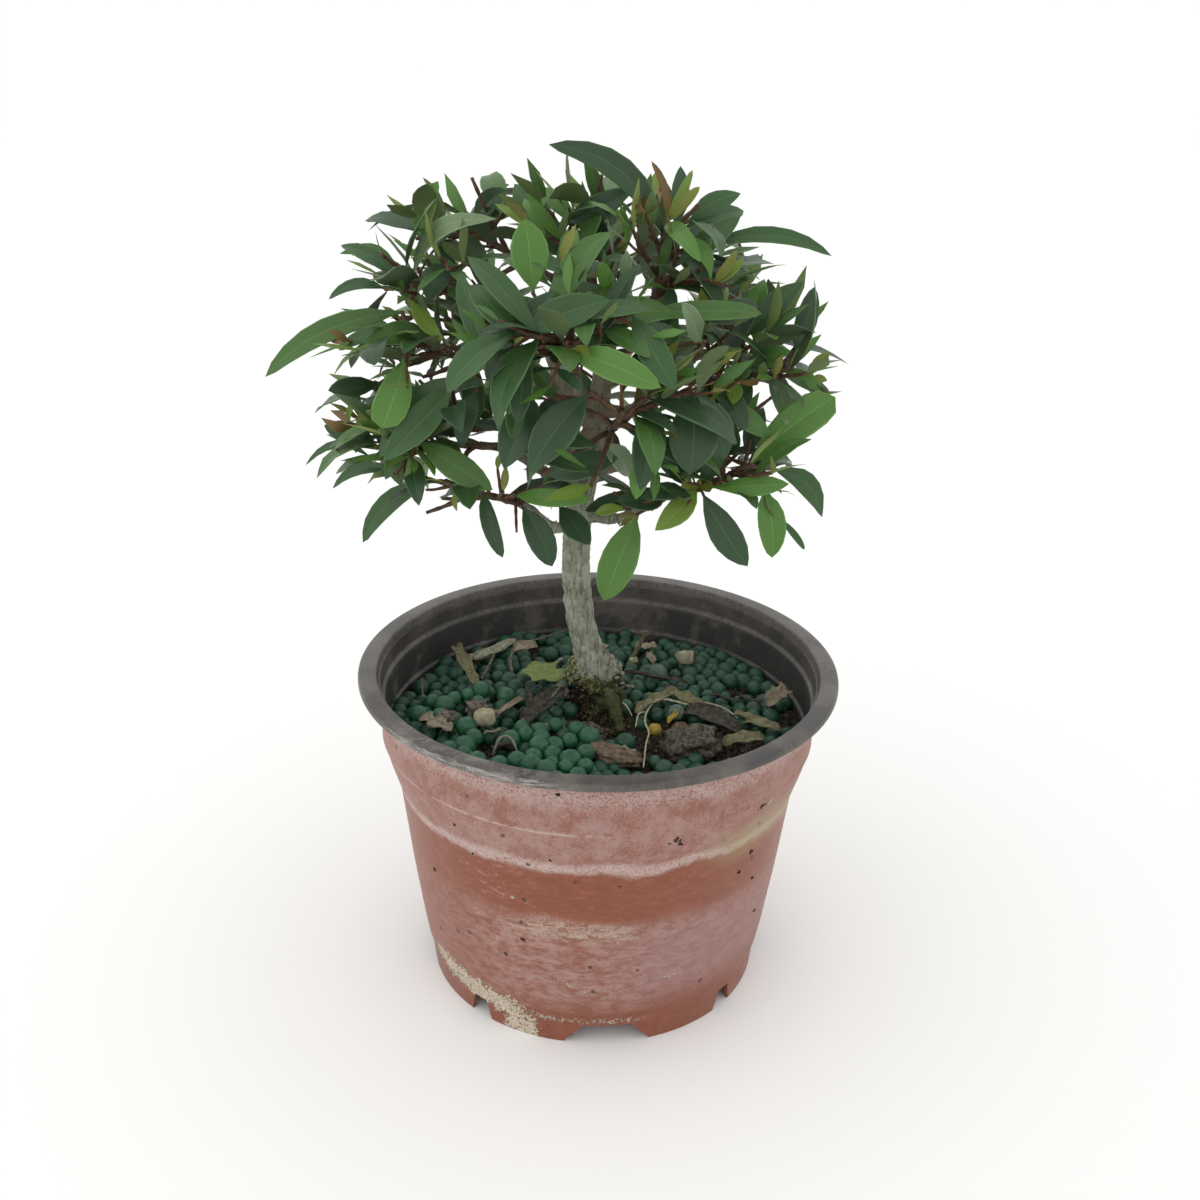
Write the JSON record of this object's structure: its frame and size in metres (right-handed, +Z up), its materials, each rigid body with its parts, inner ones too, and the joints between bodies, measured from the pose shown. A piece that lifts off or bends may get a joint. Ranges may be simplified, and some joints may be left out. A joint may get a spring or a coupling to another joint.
{
  "type": "potted bonsai tree",
  "caption": "Small potted eugenia bonsai: a bare leaning trunk under a dense rounded crown of narrow opposite leaves, in a round flower pot with a wide rim and notched foot.",
  "frame": {"origin": "on the ground under the middle of the whole plant; the pot's axis stands 10 mm along +X from it", "axes": "+Z up along the pot's axis, -Y towards the front, the side the picture shows, +X to the right seen from the front"},
  "size_m": [0.17, 0.15, 0.262],
  "materials": {
    "pot": "moulded two-layer plastic: weathered terracotta outside with mineral deposits, dark grey-brown rim and inside",
    "soil": "dark potting mix under round green fertiliser beads, with leaf litter",
    "bark": "grey-beige flaking bark",
    "leaf": "glossy dark green leaves on thin red-brown twigs"
  },
  "bodies": {
    "root": {"bough_back": "bark", "bough_back_left": "bark", "bough_back_right": "bark", "bough_bottom_left": "bark", "bough_bottom_right": "bark", "bough_front": "bark", "bough_front_low": "bark", "bough_left": "bark", "bough_low_back": "bark", "bough_low_back_left": "bark", "bough_low_back_right": "bark", "bough_low_left": "bark", "bough_right": "bark", "bough_top_left": "bark", "bough_upper_left": "bark", "bough_upper_right": "bark", "foliage_back": "leaf", "foliage_back_left": "leaf", "foliage_back_right": "leaf", "foliage_bottom_left": "leaf", "foliage_bottom_right": "leaf", "foliage_front": "leaf", "foliage_front_low": "leaf", "foliage_left": "leaf", "foliage_low_back": "leaf", "foliage_low_back_left": "leaf", "foliage_low_back_right": "leaf", "foliage_low_left": "leaf", "foliage_right": "leaf", "foliage_top": "leaf", "foliage_top_left": "leaf", "foliage_upper_left": "leaf", "foliage_upper_right": "leaf", "pot": "pot", "soil": "soil", "trunk": "bark"}
  },
  "joints": []
}
